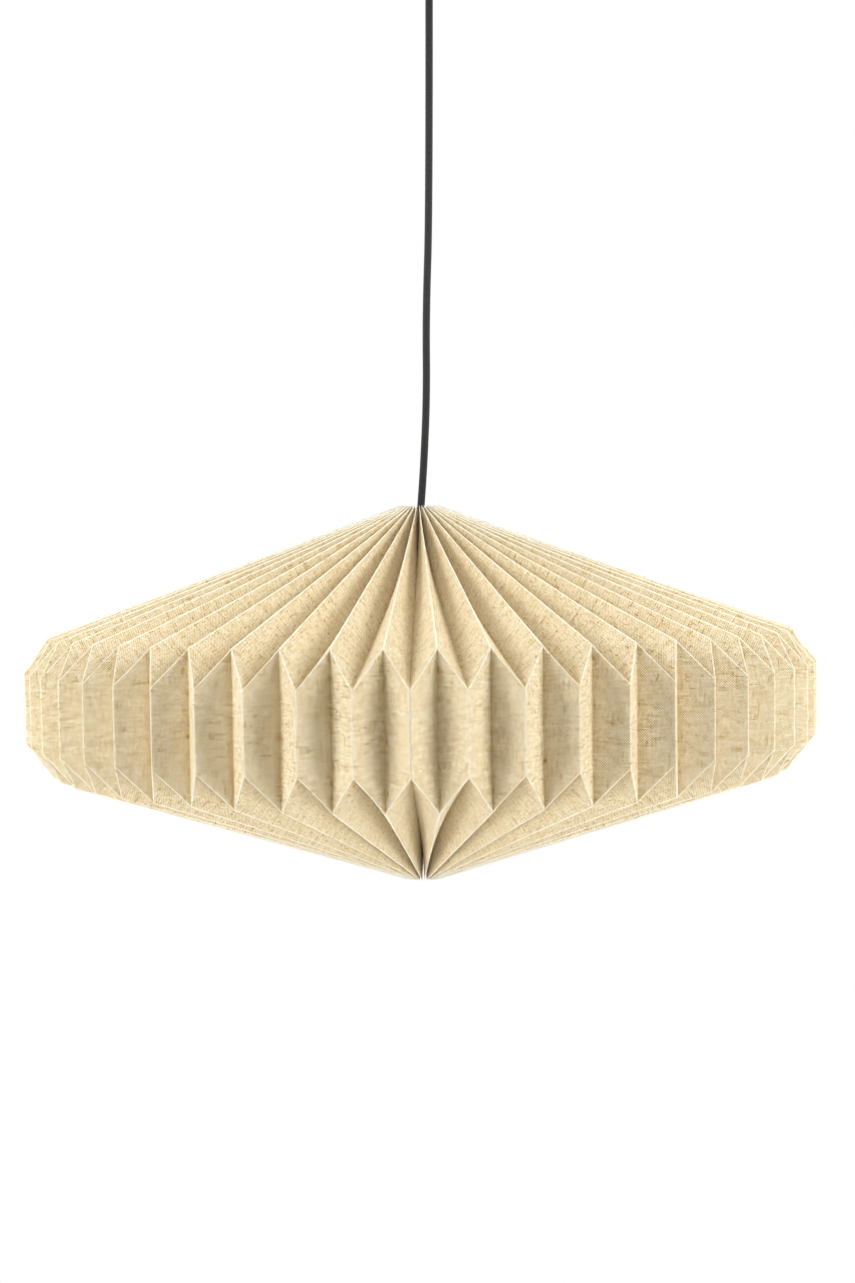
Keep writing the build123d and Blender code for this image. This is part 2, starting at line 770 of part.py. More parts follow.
# The ceramic insert, with wells for the contact, the screws and the wires
with BuildPart() as holder_insert:
    with BuildSketch(lamp_level(insert_foot)):
        Circle(insert_radius)
    extrude(amount=insert_top - insert_foot)
    with BuildSketch(lamp_level(insert_foot)):
        Circle(cap_neck_radius)
    extrude(amount=contact_recess, mode=Mode.SUBTRACT)
    with BuildSketch(lamp_level(insert_top)):
        with Locations((0, -terminal_aside / 2)):
            with GridLocations(2 * terminal_aside, 0, 2, 1):
                Circle(screw_radius + screw_clearance)
        with Locations((0, terminal_aside / 2)):
            with GridLocations(2 * terminal_aside, 0, 2, 1):
                Circle(wire_radius + thread_play)
    extrude(amount=-terminal_aside, mode=Mode.SUBTRACT)
save(holder_insert, "holder_insert")

with BuildPart() as insert_screws:
    with BuildSketch(lamp_level(insert_top)):
        with Locations((0, -terminal_aside / 2)):
            with GridLocations(2 * terminal_aside, 0, 2, 1):
                Circle(screw_radius)
    extrude(amount=-terminal_aside + screw_radius)
    with BuildSketch(lamp_level(insert_top)):
        with Locations((0, -terminal_aside / 2)):
            with GridLocations(2 * terminal_aside, 0, 2, 1):
                Circle(head_radius)
    extrude(amount=head_height)
save(insert_screws, "insert_screws")

wire_top = cord_end - shade_drop - sheath_gap
with BuildPart() as holder_conductors:
    for side in (-1, 1):
        near, far = side * wire_apart + shade_aside, side * terminal_aside + shade_aside
        with BuildLine() as wire_line:
            FilletPolyline(
                (near, 0, wire_top),
                (near, 0, wire_top - wire_bend + wire_radius),
                (far, terminal_aside / 2, insert_top + wire_bend - shade_drop - wire_radius),
                (far, terminal_aside / 2, insert_top - terminal_aside / 2 - shade_drop),
                radius=wire_bend,
            )
        with BuildSketch(Plane((near, 0, wire_top))):
            Circle(wire_radius)
        sweep(path=wire_line.line)
save(holder_conductors, "holder_conductors")

# The brass screw shell hangs from the insert, around the sprung centre contact
with BuildPart() as screw_shell:
    with BuildSketch(lamp_level(insert_foot)):
        Circle(shell_radius)
        Circle(shell_radius - shell_wall, mode=Mode.SUBTRACT)
    extrude(amount=-shell_height)
    with BuildSketch(lamp_level(insert_foot)):
        Circle(shell_radius)
        Circle(cap_neck_radius, mode=Mode.SUBTRACT)
    extrude(amount=-shell_wall)
save(screw_shell, "screw_shell")

contact_top = insert_foot + contact_recess
contact_tip = insert_foot - contact_thickness
contact_start = cap_neck_radius - contact_width / 4
with BuildPart() as centre_contact:
    with BuildSketch(lamp_profile):
        with BuildLine():
            Polyline(
                (-contact_start, contact_top),
                (-contact_width / 2, contact_top),
                (contact_width / 2, contact_tip + contact_thickness),
                (contact_width / 2, contact_tip),
                (-contact_width / 2, contact_top - contact_thickness),
                (-contact_start, contact_top - contact_thickness),
                close=True,
            )
        make_face()
    extrude(amount=contact_width / 2, both=True)
save(centre_contact, "centre_contact")

# The shade ring clamps the carrier's washer against the flange
ring_top = washer_foot - part_gap
skirt_radius = (shade_ring_radius + body_radius) / 2
with BuildPart() as shade_ring:
    with BuildSketch(lamp_level(ring_top)):
        Circle(shade_ring_radius)
        with PolarLocations(shade_ring_radius, grip_ribs):
            Circle(grip_rib_radius, mode=Mode.SUBTRACT)
        Circle(body_radius + shade_ring_play, mode=Mode.SUBTRACT)
    extrude(amount=-shade_ring_height / 3)
    with BuildSketch(lamp_level(ring_top)):
        Circle(skirt_radius)
        Circle(body_radius + shade_ring_play, mode=Mode.SUBTRACT)
    extrude(amount=-shade_ring_height)
save(shade_ring, "shade_ring")

# The bulb, from its tip contact down to the globe
tip_top = contact_tip - part_gap
cap_end = tip_top - bulb_tip_length
cap_start = cap_end - bulb_cap_length
glass_top = cap_start - collar_height
globe_centre = glass_top - sqrt(bulb_radius**2 - bulb_neck_radius**2)
glass_inner = bulb_radius - bulb_glass
glass_inner_neck = sqrt(glass_inner**2 - (glass_top - globe_centre) ** 2)
insulator_top = (tip_top + cap_end) / 2


def turned(name, corners):
    """A solid turned about the lamp's axis from the corners of its outline."""
    with BuildPart() as piece:
        with BuildSketch(lamp_profile):
            with BuildLine():
                Polyline(*corners, close=True)
            make_face()
        revolve(axis=lamp_axis)
    save(piece, name)


turned(
    "bulb_contact",
    [
        (0, tip_top),
        (bulb_tip_radius * 2 / 3, tip_top),
        (bulb_tip_radius, insulator_top + part_gap),
        (bulb_tip_radius, insulator_top),
        (0, insulator_top),
    ],
)
turned(
    "bulb_insulator",
    [
        (0, insulator_top),
        (bulb_tip_radius + part_gap, insulator_top),
        (bulb_cap_radius - holder_wall, cap_end),
        (0, cap_end),
    ],
)
turned(
    "bulb_cap",
    [
        (0, cap_end),
        (bulb_cap_radius - holder_wall, cap_end),
        (bulb_cap_radius, cap_end - holder_wall),
        (bulb_cap_radius, cap_start),
        (0, cap_start),
    ],
)
with BuildPart() as bulb_collar:
    with BuildSketch(lamp_profile):
        with BuildLine():
            Polyline(
                (0, glass_top),
                (0, cap_start),
                (bulb_cap_radius, cap_start),
                (bulb_cap_radius, body_foot),
            )
            RadiusArc(
                (bulb_cap_radius, body_foot), (bulb_neck_radius, glass_top), -collar_height * 2
            )
            Line((bulb_neck_radius, glass_top), (0, glass_top))
        make_face()
    revolve(axis=lamp_axis)
save(bulb_collar, "bulb_collar")

with BuildPart() as bulb_globe:
    with BuildSketch(lamp_profile):
        with BuildLine():
            Line((glass_inner_neck, glass_top), (bulb_neck_radius, glass_top))
            ThreePointArc(
                (bulb_neck_radius, glass_top),
                (bulb_radius, globe_centre),
                (0, globe_centre - bulb_radius),
            )
            Line((0, globe_centre - bulb_radius), (0, globe_centre - glass_inner))
            ThreePointArc(
                (0, globe_centre - glass_inner),
                (glass_inner, globe_centre),
                (glass_inner_neck, glass_top),
            )
        make_face()
    revolve(axis=lamp_axis)
save(bulb_globe, "bulb_globe")

print("bulb runs out of the holder after", round(tip_top - body_foot, 1))
print("pivots", round(hook_seat, 3), round(ring_seat, 3))
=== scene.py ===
# %% [markdown]
# # A folded linen pendant lamp
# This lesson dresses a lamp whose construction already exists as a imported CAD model. The model
# gives every piece its place, and Blender gives it its looks. The lamp hangs from a ceiling
# hook on a black textile cord. Its shade is four sheets of linen on a stiff backing, folded
# into 56 pleats. Units are metres, and the origin is the middle of the ceiling strap's upper
# face.

# %% Load the lamp
import math

import bpy
import bmesh
from mathutils import Matrix, Vector
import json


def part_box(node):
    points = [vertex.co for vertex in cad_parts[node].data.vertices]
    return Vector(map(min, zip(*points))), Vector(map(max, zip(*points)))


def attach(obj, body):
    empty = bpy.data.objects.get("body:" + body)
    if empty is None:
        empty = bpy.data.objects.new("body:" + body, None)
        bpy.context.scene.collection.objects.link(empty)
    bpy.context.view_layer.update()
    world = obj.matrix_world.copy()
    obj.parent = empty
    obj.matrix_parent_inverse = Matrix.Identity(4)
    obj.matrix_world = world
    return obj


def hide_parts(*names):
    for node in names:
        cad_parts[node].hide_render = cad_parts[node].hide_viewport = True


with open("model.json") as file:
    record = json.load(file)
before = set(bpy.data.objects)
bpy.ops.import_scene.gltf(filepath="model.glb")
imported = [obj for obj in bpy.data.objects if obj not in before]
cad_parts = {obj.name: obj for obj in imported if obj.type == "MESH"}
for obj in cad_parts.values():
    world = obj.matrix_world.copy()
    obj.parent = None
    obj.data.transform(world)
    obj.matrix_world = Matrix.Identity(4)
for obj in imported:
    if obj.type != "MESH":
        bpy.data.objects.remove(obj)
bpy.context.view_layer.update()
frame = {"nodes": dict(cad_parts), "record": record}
nodes = frame["nodes"]
bpy.ops.object.select_all(action="DESELECT")

# %% [markdown]
# ## The viewpoint
# The camera stands 1.1 m in front of the shade and a little above its middle, as in the
# photograph. Its three angles were fitted to the photograph: a slight look down, a slight turn
# and a slight roll, which is why the upright shade and the leaning cord both look as they do.

# %% Camera
shade_axis = Vector((-0.014, 0.0, -0.606))  # the middle of the shade
look_down, look_aside, roll = 0.04574, 0.01662, 0.01384  # radians
lens = 39.63  # millimetres, over a picture 36 mm high
stand_off = Vector((0.02395, -1.10805, 0.09059))  # from the middle of the shade to the lens

right_level = Vector((math.cos(look_aside), math.sin(look_aside), 0))
ahead_level = Vector((-math.sin(look_aside), math.cos(look_aside), 0))
ahead = math.cos(look_down) * ahead_level - math.sin(look_down) * Vector((0, 0, 1))
over = math.sin(look_down) * ahead_level + math.cos(look_down) * Vector((0, 0, 1))
right = math.cos(roll) * right_level - math.sin(roll) * over
up = math.sin(roll) * right_level + math.cos(roll) * over

camera_data = bpy.data.cameras.new("camera")
camera_data.sensor_fit = "VERTICAL"
camera_data.sensor_height = 36
camera_data.lens = lens
camera = bpy.data.objects.new("camera", camera_data)
bpy.context.scene.collection.objects.link(camera)
place = Matrix((right, up, -ahead)).transposed().to_4x4()
place.translation = shade_axis + stand_off
camera.matrix_world = place
bpy.context.scene.camera = camera
print("camera stands at", [round(value, 3) for value in place.translation])

# %% [markdown]
# ## A way to write materials as sums
# A material is a small calculation on every point of a surface. Written as nodes by hand it is
# long, so one small class wraps a socket and lets it be added and multiplied like a number.

# %% Dye: a socket that can be added, multiplied and compared


class Dye:
    def __init__(self, tree, socket):
        self.tree, self.socket = tree, socket

    def maths(self, operation, *others):
        node = self.tree.nodes.new("ShaderNodeMath")
        node.operation = operation
        for slot, value in zip(node.inputs, others):
            plug(self.tree, slot, value)
        return Dye(self.tree, node.outputs[0])

    def __add__(self, other):
        return self.maths("ADD", self, other)

    __radd__ = __add__

    def __mul__(self, other):
        return self.maths("MULTIPLY", self, other)

    __rmul__ = __mul__

    def __sub__(self, other):
        return self.maths("SUBTRACT", self, other)

    def __rsub__(self, other):
        return self.maths("SUBTRACT", other, self)

    def __truediv__(self, other):
        return self.maths("DIVIDE", self, other)

    def __rtruediv__(self, other):
        return self.maths("DIVIDE", other, self)

    def __pow__(self, other):
        return self.maths("POWER", self, other)

    def __gt__(self, other):
        return self.maths("GREATER_THAN", self, other)

    def __mod__(self, other):
        return self.maths("FLOORED_MODULO", self, other)

    def __abs__(self):
        return self.maths("ABSOLUTE", self)


def plug(tree, slot, value):
    """Give a socket a link or a plain value."""
    if isinstance(value, Dye):
        tree.links.new(value.socket, slot)
    elif hasattr(slot.default_value, "__len__") and hasattr(value, "__len__"):
        wanted = len(slot.default_value)
        slot.default_value = (tuple(value) + (1.0,))[:wanted]
    else:
        slot.default_value = value


# %% Finish: one material and its node maker


class Finish:
    def __init__(self, name, **constants):
        self.material = bpy.data.materials.new(name)
        self.material.use_nodes = True
        self.tree = self.material.node_tree
        self.shader = self.tree.nodes["Principled BSDF"]
        self.set(**constants)

    def set(self, **inputs):
        """Set the shader's sockets, by their names with underscores for spaces."""
        for name, value in inputs.items():
            plug(self.tree, self.shader.inputs[name.replace("_", " ")], value)

    def node(self, kind, settings=None, output=0, **inputs):
        """Any node: its settings first, then the values or links of its sockets.

        A key such as i6 is a socket's number, for nodes whose sockets share a name.
        """
        made = self.tree.nodes.new(kind)
        for name, value in (settings or {}).items():
            if name == "stops":
                while len(made.color_ramp.elements) < len(value):
                    made.color_ramp.elements.new(0.5)
                for stop, (spot, color) in zip(made.color_ramp.elements, value):
                    stop.position, stop.color = spot, (*color, 1.0)
            else:
                setattr(made, name, value)
        for name, value in inputs.items():
            key = int(name[1:]) if name[0] == "i" and name[1:].isdigit() else name.replace("_", " ")
            plug(self.tree, made.inputs[key], value)
        return Dye(self.tree, made.outputs[output])

    def mix(self, share, first, second):
        """Blend two colours."""
        return self.node(
            "ShaderNodeMix", {"data_type": "RGBA"}, 2, i0=share, i6=first, i7=second
        )

    def ease(self, value, low, high):
        """0 below low, 1 above high, and smooth between."""
        return self.node(
            "ShaderNodeMapRange",
            {"interpolation_type": "SMOOTHSTEP"},
            Value=value,
            From_Min=low,
            From_Max=high,
        )

    def noise(self, where, scale, detail=2.0, roughness=0.5):
        return self.node(
            "ShaderNodeTexNoise", Vector=where, Scale=scale, Detail=detail, Roughness=roughness
        )

    def place(self):
        """Object coordinates, which are the lamp's own metres."""
        return self.node("ShaderNodeTexCoord", output=3)

    def stretch(self, where, amounts):
        return self.node("ShaderNodeVectorMath", {"operation": "MULTIPLY"}, i0=where, i1=amounts)

    def bump(self, height, depth, strength=1.0):
        self.set(
            Normal=self.node("ShaderNodeBump", Height=height, Distance=depth, Strength=strength)
        )


def linear(red, green, blue):
    """A colour as seen on a screen, from 0 to 255, as the light that a shader wants."""
    def one(value):
        value /= 255
        return value / 12.92 if value <= 0.04045 else ((value + 0.055) / 1.055) ** 2.4
    return one(red), one(green), one(blue)


# %% [markdown]
# ## The cord
# A mains cord for a pendant is two insulated conductors under a braided textile sleeve, about
# 5.8 mm thick. It could be a straight tube, but a free cord is never quite straight: it keeps
# some of the curl of its drum. The CAD model's cord is straight runs with rounded bends between
# a few given points. Here the same points guide one smooth spline, and the sleeve is a
# tube around that line, so that the braid can follow it.

# %% The cord's line
cord_route = [
    (0, 0, -0.039),
    (-0.0023, 0, -0.228),
    (-0.0062, 0, -0.313),
    (-0.0064, 0, -0.374),
    (-0.0094, 0, -0.428),
    (-0.0124, 0, -0.463),
    (-0.01395, 0, -0.484),
    (-0.014, 0, -0.509),
]
cord_radius = 0.0029


def spline_points(route, resolution):
    """Points of one NURBS spline whose control points are the route."""
    line = bpy.data.curves.new("cord_line", "CURVE")
    line.dimensions = "3D"
    line.resolution_u = resolution
    spline = line.splines.new("NURBS")
    spline.points.add(len(route) - 1)
    for point, where in zip(spline.points, route):
        point.co = (*where, 1.0)
    spline.order_u = 3
    spline.use_endpoint_u = True
    holder = bpy.data.objects.new("cord_line", line)
    bpy.context.scene.collection.objects.link(holder)
    bpy.context.view_layer.update()
    mesh = bpy.data.meshes.new_from_object(holder)
    points = [vertex.co.copy() for vertex in mesh.vertices]
    bpy.data.objects.remove(holder)
    return points


cord_points = spline_points(cord_route, 24)
cord_length = sum((b - a).length for a, b in zip(cord_points, cord_points[1:]))
print("cord", len(cord_points), "points", round(cord_length, 4), "m")

# %% The cord's sleeve


def sleeve(name, points, radius, sides):
    """A closed tube around a line, with a map of metres along it and turns around it."""
    mesh = bpy.data.meshes.new(name)
    build = bmesh.new()
    layer = build.loops.layers.uv.new("sleeve")
    along, rings, travelled = [], [], 0.0
    for index, point in enumerate(points):
        before, after = points[max(index - 1, 0)], points[min(index + 1, len(points) - 1)]
        heading = (after - before).normalized()
        aside = heading.cross(Vector((0, 1, 0))).normalized()
        square = heading.cross(aside)
        if index:
            travelled += (point - points[index - 1]).length
        along.append(travelled)
        rings.append(
            [
                build.verts.new(
                    point
                    + radius * math.cos(2 * math.pi * side / sides) * aside
                    + radius * math.sin(2 * math.pi * side / sides) * square
                )
                for side in range(sides)
            ]
        )
    for index, (low, high) in enumerate(zip(rings, rings[1:])):
        for side in range(sides):
            following = (side + 1) % sides
            face = build.faces.new((low[side], low[following], high[following], high[side]))
            face.smooth = True
            corners = ((side, index), (side + 1, index), (side + 1, index + 1), (side, index + 1))
            for loop, (turn, row) in zip(face.loops, corners):
                loop[layer].uv = (turn / sides, along[row])
    build.faces.new(rings[0][::-1])
    build.faces.new(rings[-1])
    bmesh.ops.recalc_face_normals(build, faces=build.faces)
    build.to_mesh(mesh)
    build.free()
    made = bpy.data.objects.new(name, mesh)
    bpy.context.scene.collection.objects.link(made)
    return made


textile_cord = sleeve("textile_cord", cord_points, cord_radius, 24)
print("sleeve", len(textile_cord.data.polygons), "faces")

# %% [markdown]
# The sleeve is a braid: yarns run round the cord both ways and pass over and under each other.
# Two families of slanted bands give the two directions, and a checker of both says which one
# lies on top. The black is a very dark grey, so that light can still show the yarns.

# %% The braid's finish
braid = Finish("textile_black", Roughness=0.82, Sheen_Weight=0.08, Sheen_Roughness=0.5)
braid_map = braid.node("ShaderNodeUVMap", {"uv_map": "sleeve"})
around = braid.node("ShaderNodeSeparateXYZ", Vector=braid_map)
along_cord = Dye(braid.tree, around.socket.node.outputs[1])
yarns = 16  # of each family, round the cord
yarn_pitch = 0.0022  # along the cord, from one crossing to the next
one_way = around * yarns + along_cord / yarn_pitch
other_way = around * yarns - along_cord / yarn_pitch
first_yarn = one_way.maths("SINE", one_way * math.pi)
second_yarn = other_way.maths("SINE", other_way * math.pi)
crossing = (abs(first_yarn) * abs(second_yarn)) ** 0.5  # 1 on a yarn's crown, 0 between yarns
on_top = (first_yarn * second_yarn) > 0.0
fuzz = braid.noise(braid.place(), 2600.0, 3.0)
# Painted shade: the braid's colour darkens between the yarns, and the yarn on top is painted a
# little paler.
braid.set(
    Base_Color=braid.mix(
        braid.ease(crossing * 0.8 + fuzz * 0.4 + on_top * 0.1, 0.1, 1.1),
        (0.002, 0.002, 0.002),
        (0.012, 0.012, 0.0115),
    )
)
braid.bump(crossing + on_top * 0.35 + fuzz * 0.2, 0.0003)
textile_cord.data.materials.append(braid.material)
print("braid", yarns, "yarns each way,", len(braid.tree.nodes), "nodes")

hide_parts("pendant_cord")
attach(textile_cord, "pendant")
print("cord declared", textile_cord.name)

# %% [markdown]
# ## The folded sheets
# The shade is folded paper-lantern style. Flat, each sheet is nearly square, with upright folds
# a panel apart and two zigzag creases. Folded, every upright fold lies in a plane through the
# lamp's axis. The zigzag at 45 degrees turns the pleats inside out: an outer fold of the band
# goes on as a valley of the cone, and an inner fold of the band as a ridge. The slope of the
# cones follows from that, so a few numbers give the whole shape.

# %% The fold's numbers
pleats = 56
outer_radius = 0.300  # the band's outer folds
inner_radius = 0.283  # the band's inner folds
half_band = 0.0255  # half the length of an outer fold
neck_radius = 0.0165  # the ridges' upper ends
half_turn = math.pi / pleats  # from the plane of one fold to the plane of the next
panel = math.sqrt(
    outer_radius**2
    + inner_radius**2
    - 2 * outer_radius * inner_radius * math.cos(half_turn)
)
slope = 2 * math.atan2(panel, outer_radius * math.cos(half_turn) - inner_radius) - math.pi / 2
crease = half_band + panel
ridge_run = (inner_radius - neck_radius) / math.cos(slope)
sheet_reach = crease + ridge_run  # from the middle to the cut edge, along the flat sheet
print("panel", round(panel, 5), "slope", round(math.degrees(slope), 2))
print("reach", round(sheet_reach, 4))

# %% From the flat sheet to the folded one


def ridge(run):
    """A ridge point as (radius, height), at a distance up from the zigzag crease."""
    return inner_radius - run * math.cos(slope), crease + run * math.sin(slope)


def valley(run):
    """The valley point one panel away from that ridge point, square to the ridge."""
    radius, height = ridge(run)
    turn, rise = math.cos(half_turn), math.sin(slope)
    square = turn**2 + (rise * math.sin(half_turn)) ** 2
    level = radius**2 - (rise * panel) ** 2
    other = (radius * turn - math.sqrt((radius * turn) ** 2 - square * level)) / square
    return other, height - (radius - other * turn) / math.tan(slope)


def folded(across, along):
    """Where a point of the flat sheet goes. Across counts round from the front."""
    number = math.floor(across / panel)
    share = across / panel - number
    outer_plane, inner_plane = number * half_turn, (number + 1) * half_turn
    if number % 2:
        outer_plane, inner_plane, share = inner_plane, outer_plane, 1 - share
    side, height = math.copysign(1, along), abs(along)
    if height <= half_band + share * panel:
        outer, inner = (outer_radius, height), (inner_radius, height)
    else:
        outer, inner = valley(height - crease), ridge(height - crease)
    ends = [
        Vector((radius * math.sin(plane), -radius * math.cos(plane), side * level))
        for (radius, level), plane in ((outer, outer_plane), (inner, inner_plane))
    ]
    return ends[0].lerp(ends[1], share)


fold_round = 0.00035  # how far round a point the sheet evens out its folds


def softened(across, along):
    """The folded place, with each fold rounded as board and linen round it."""
    near = [(0, 0), (fold_round, 0), (-fold_round, 0), (0, fold_round), (0, -fold_round)]
    total = Vector((0, 0, 0))
    for aside, onward in near:
        total += folded(across + aside, along + onward)
    return shade_axis + total / len(near)


# %% [markdown]
# A sheet's mesh has its points where the folds need them: close together beside each fold, so
# that the fold can be round, and far apart in the flat middle of a panel.

# %% One sheet of the shade
column_shares = (0.0, 0.03, 0.09, 0.28, 0.5, 0.72, 0.91, 0.97)
band_rows = (0.0, 0.35, 0.7, 0.93, 0.975)
cone_rows = (0.0, 0.0025, 0.009, 0.03, 0.07, 0.12, 0.2, 0.3, 0.4, 0.5, 0.6, 0.7, 0.8, 0.9, 1.0)


def sheet_rows(share):
    """Heights on the flat sheet where the mesh has its rows, at a share of a panel."""
    turn_up = half_band + share * panel
    upper = [turn_up * row for row in band_rows]
    upper += [turn_up + (sheet_reach - turn_up) * row for row in cone_rows]
    return [-row for row in upper[:0:-1]] + upper


def folded_sheet(name, first_panel, panels):
    """A sheet over a number of panels, with a map of its flat metres."""
    grid, flat = [], []
    for number in range(first_panel, first_panel + panels + 1):
        shares = column_shares if number < first_panel + panels else (0.0,)
        for share in shares:
            across = (number + share) * panel
            height_share = 1 - share if number % 2 else share
            rows = sheet_rows(height_share)
            flat.append([(across, row) for row in rows])
            grid.append([softened(across, row) for row in rows])
    count = len(grid[0])  # points in a column
    mesh = bpy.data.meshes.new(name)
    faces = [
        (start + row, start + count + row, start + count + row + 1, start + row + 1)
        for start in range(0, (len(grid) - 1) * count, count)
        for row in range(count - 1)
    ]
    mesh.from_pydata([tuple(point) for column in grid for point in column], [], faces)
    flat_places = [place for column in flat for place in column]
    layer = mesh.uv_layers.new(name="linen")
    layer.data.foreach_set(
        "uv", [value for loop in mesh.loops for value in flat_places[loop.vertex_index]]
    )
    mesh.polygons.foreach_set("use_smooth", [True] * len(mesh.polygons))
    mesh.update()
    made = bpy.data.objects.new(name, mesh)
    bpy.context.scene.collection.objects.link(made)
    return made


quarters = ("front_right", "back_right", "back_left", "front_left")
sheet_panels = 2 * pleats // len(quarters)
sheets = [
    folded_sheet(f"linen_{quarter}", number * sheet_panels, sheet_panels)
    for number, quarter in enumerate(quarters)
]
print("sheets", [len(sheet.data.polygons) for sheet in sheets], "faces")

# %% [markdown]
# ## Linen on its backing
# Unbleached linen is a plain weave of uneven yarns. From near, the crossings make a fine
# checkerboard, and from further off a thick or dark yarn shows as a fleck or a short streak,
# along the cloth and across it. One number, the tone, is worked out from the map of the flat
# sheet, so the pattern follows the folds, and a ramp of five linen colours turns it into a
# colour. Folds that point outwards are paler, partly from wear where the yarns stretch over
# them and partly as a painted highlight; folds that point inwards are darkened as painted shade.

# %% The weave
linen = Finish("natural_linen", Roughness=0.9, Sheen_Weight=0.1, Sheen_Roughness=0.4)
linen_map = linen.node("ShaderNodeUVMap", {"uv_map": "linen"})
across = linen.node("ShaderNodeSeparateXYZ", Vector=linen_map)
along = Dye(linen.tree, across.socket.node.outputs[1])
yarn = 0.00078  # from one yarn to the next
streak_of_warp, streak_of_weft = 0.008, 0.010  # how far a yarn keeps its tone


def yarn_tone(number, run, stretch, seed):
    """The tone of each yarn, which changes slowly along it."""
    apart = 0.731  # sets neighbouring yarns so far apart in the noise that they don't match
    where = linen.node("ShaderNodeCombineXYZ", X=number * apart, Y=run / stretch, Z=seed)
    return linen.noise(where, 1.0, 2.0, 0.6)


# A slow shift by up to 1.6 yarns, so that no yarn runs quite straight
wobble = linen.noise(linen.stretch(linen_map, (60.0, 60.0, 0.0)), 1.0, 1.0) * 1.6
warp_place = across / yarn + wobble
weft_place = along / yarn + wobble
warp_number = warp_place.maths("FLOOR", warp_place)
weft_number = weft_place.maths("FLOOR", weft_place)
warp_round = warp_place.maths("SINE", (warp_place - warp_number) * math.pi)
weft_round = weft_place.maths("SINE", (weft_place - weft_number) * math.pi)
warp_over = (warp_number + weft_number) % 2.0
height = warp_over * warp_round * weft_round**0.5 + (1 - warp_over) * weft_round * warp_round**0.5
warp_tone = yarn_tone(warp_number, along, streak_of_warp, 3.1)
weft_tone = yarn_tone(weft_number, across, streak_of_weft, 7.7)
print("yarns in a sheet", round(sheet_panels * panel / yarn), "by", round(2 * sheet_reach / yarn))

# %% Where the folds are on the flat sheet
line_core, line_edge = 0.0003, 0.0011  # a line of wear and painted highlight is full inside the first, gone past the other
# Painted shade along the inward folds: full inside the first width, gone past the second.
fold_shade_core, fold_shade_edge = 0.0004, 0.0060
square_to_crease = 0.7071  # turns a height above the slanted crease into a distance from it
nearest_fold = (across / panel + 0.5).maths("FLOOR", across / panel + 0.5)
fold_place = abs(across / panel - nearest_fold) * panel
odd_fold = nearest_fold % 2.0
zigzag = abs((across / panel) % 2.0 - 1.0)
reach = abs(along)
zigzag_place = abs(reach - (half_band + panel - zigzag * panel)) * square_to_crease
points_out = odd_fold * (reach > crease) + (1 - odd_fold) * (1 - (reach > half_band))
upright_line = 1 - linen.ease(fold_place, line_core, line_edge)
zigzag_line = 1 - linen.ease(zigzag_place, line_core, line_edge)
# Outward folds are paler, partly from wear and partly as a painted highlight.
worn_and_highlit_fold = zigzag_line.maths(
    "MAXIMUM", zigzag_line, upright_line * points_out * (0.6 + 0.4 * (reach > half_band))
)
# Painted shade: the inward folds are darkened where shade falls between the panels.
painted_fold_shade = (1 - linen.ease(fold_place, fold_shade_core, fold_shade_edge)) * (1 - points_out)

# %% The linen's tone and colour
yarn_mix = (warp_tone + weft_tone) * 0.5
checker = warp_over * warp_tone + (1 - warp_over) * weft_tone  # the tone of the yarn on top
dark_from, dark_by = 0.60, 0.76
dark_yarns = linen.ease(warp_tone, dark_from, dark_by) + linen.ease(weft_tone, dark_from, dark_by)
mottle = linen.noise(linen.stretch(linen_map, (22.0, 30.0, 0.0)), 1.0, 2.0)
crossing_place = linen.node("ShaderNodeCombineXYZ", X=warp_number, Y=weft_number)
crossing_mark = linen.node(
    "ShaderNodeTexWhiteNoise", {"noise_dimensions": "2D"}, Vector=crossing_place
)
# Painted shade: the gaps between yarns are darker.
yarn_gap_shade = 1 - linen.ease(height, 0.0, 0.45)

# The tone runs from 0, a dark fleck, to 1, a worn fold with its painted highlight. Each pattern
# shifts it by its own weight.
# The warp-over cells are paler, partly as the yarns' own tone and partly as a painted highlight of
# side light on the upright yarns.
tone = 0.73 + (warp_over - 0.5) * 0.42 - (yarn_mix - 0.5) * 0.55 - (checker - 0.5) * 0.36
tone = tone - dark_yarns * 0.22 - (mottle - 0.5) * 0.12 - (crossing_mark - 0.5) * 0.22
tone = tone - yarn_gap_shade * 0.34 + worn_and_highlit_fold * 0.32 - painted_fold_shade * 0.12
linen.set(
    Base_Color=linen.node(
        "ShaderNodeValToRGB",
        {
            "stops": [
                (0.0, linear(104, 66, 20)),
                (0.35, linear(200, 156, 72)),
                (0.62, linear(236, 215, 157)),
                (0.82, linear(243, 238, 211)),
                (1.0, linear(251, 250, 240)),
            ]
        },
        Fac=tone,
    )
)
linen.bump(height * 0.6 + checker * 0.9, 0.00022)
print("linen", len(linen.tree.nodes), "nodes")

# %% The backing's finish
backing = Finish("backing_film", Roughness=0.55)
film = backing.noise(backing.place(), 90.0, 3.0)
backing.set(Base_Color=backing.mix(film, linear(236, 228, 208), linear(244, 238, 222)))
backing.bump(backing.noise(backing.place(), 1400.0, 2.0), 0.00005)
print("backing", len(backing.tree.nodes), "nodes")

# %% Give the sheets their thickness
sheet_thickness = 0.0004
for sheet, quarter in zip(sheets, quarters):
    sheet.data.materials.append(linen.material)
    sheet.data.materials.append(backing.material)
    bpy.ops.object.select_all(action="DESELECT")
    sheet.select_set(True)
    bpy.context.view_layer.objects.active = sheet
    thick = sheet.modifiers.new("thickness", "SOLIDIFY")
    thick.thickness = sheet_thickness
    thick.offset = 0.0
    thick.material_offset = 1
    thick.material_offset_rim = 1
    bpy.ops.object.modifier_apply(modifier="thickness")
    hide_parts(f"shade_{quarter}")
    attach(sheet, "pendant")
    print(sheet.name, len(sheet.data.polygons), "faces")

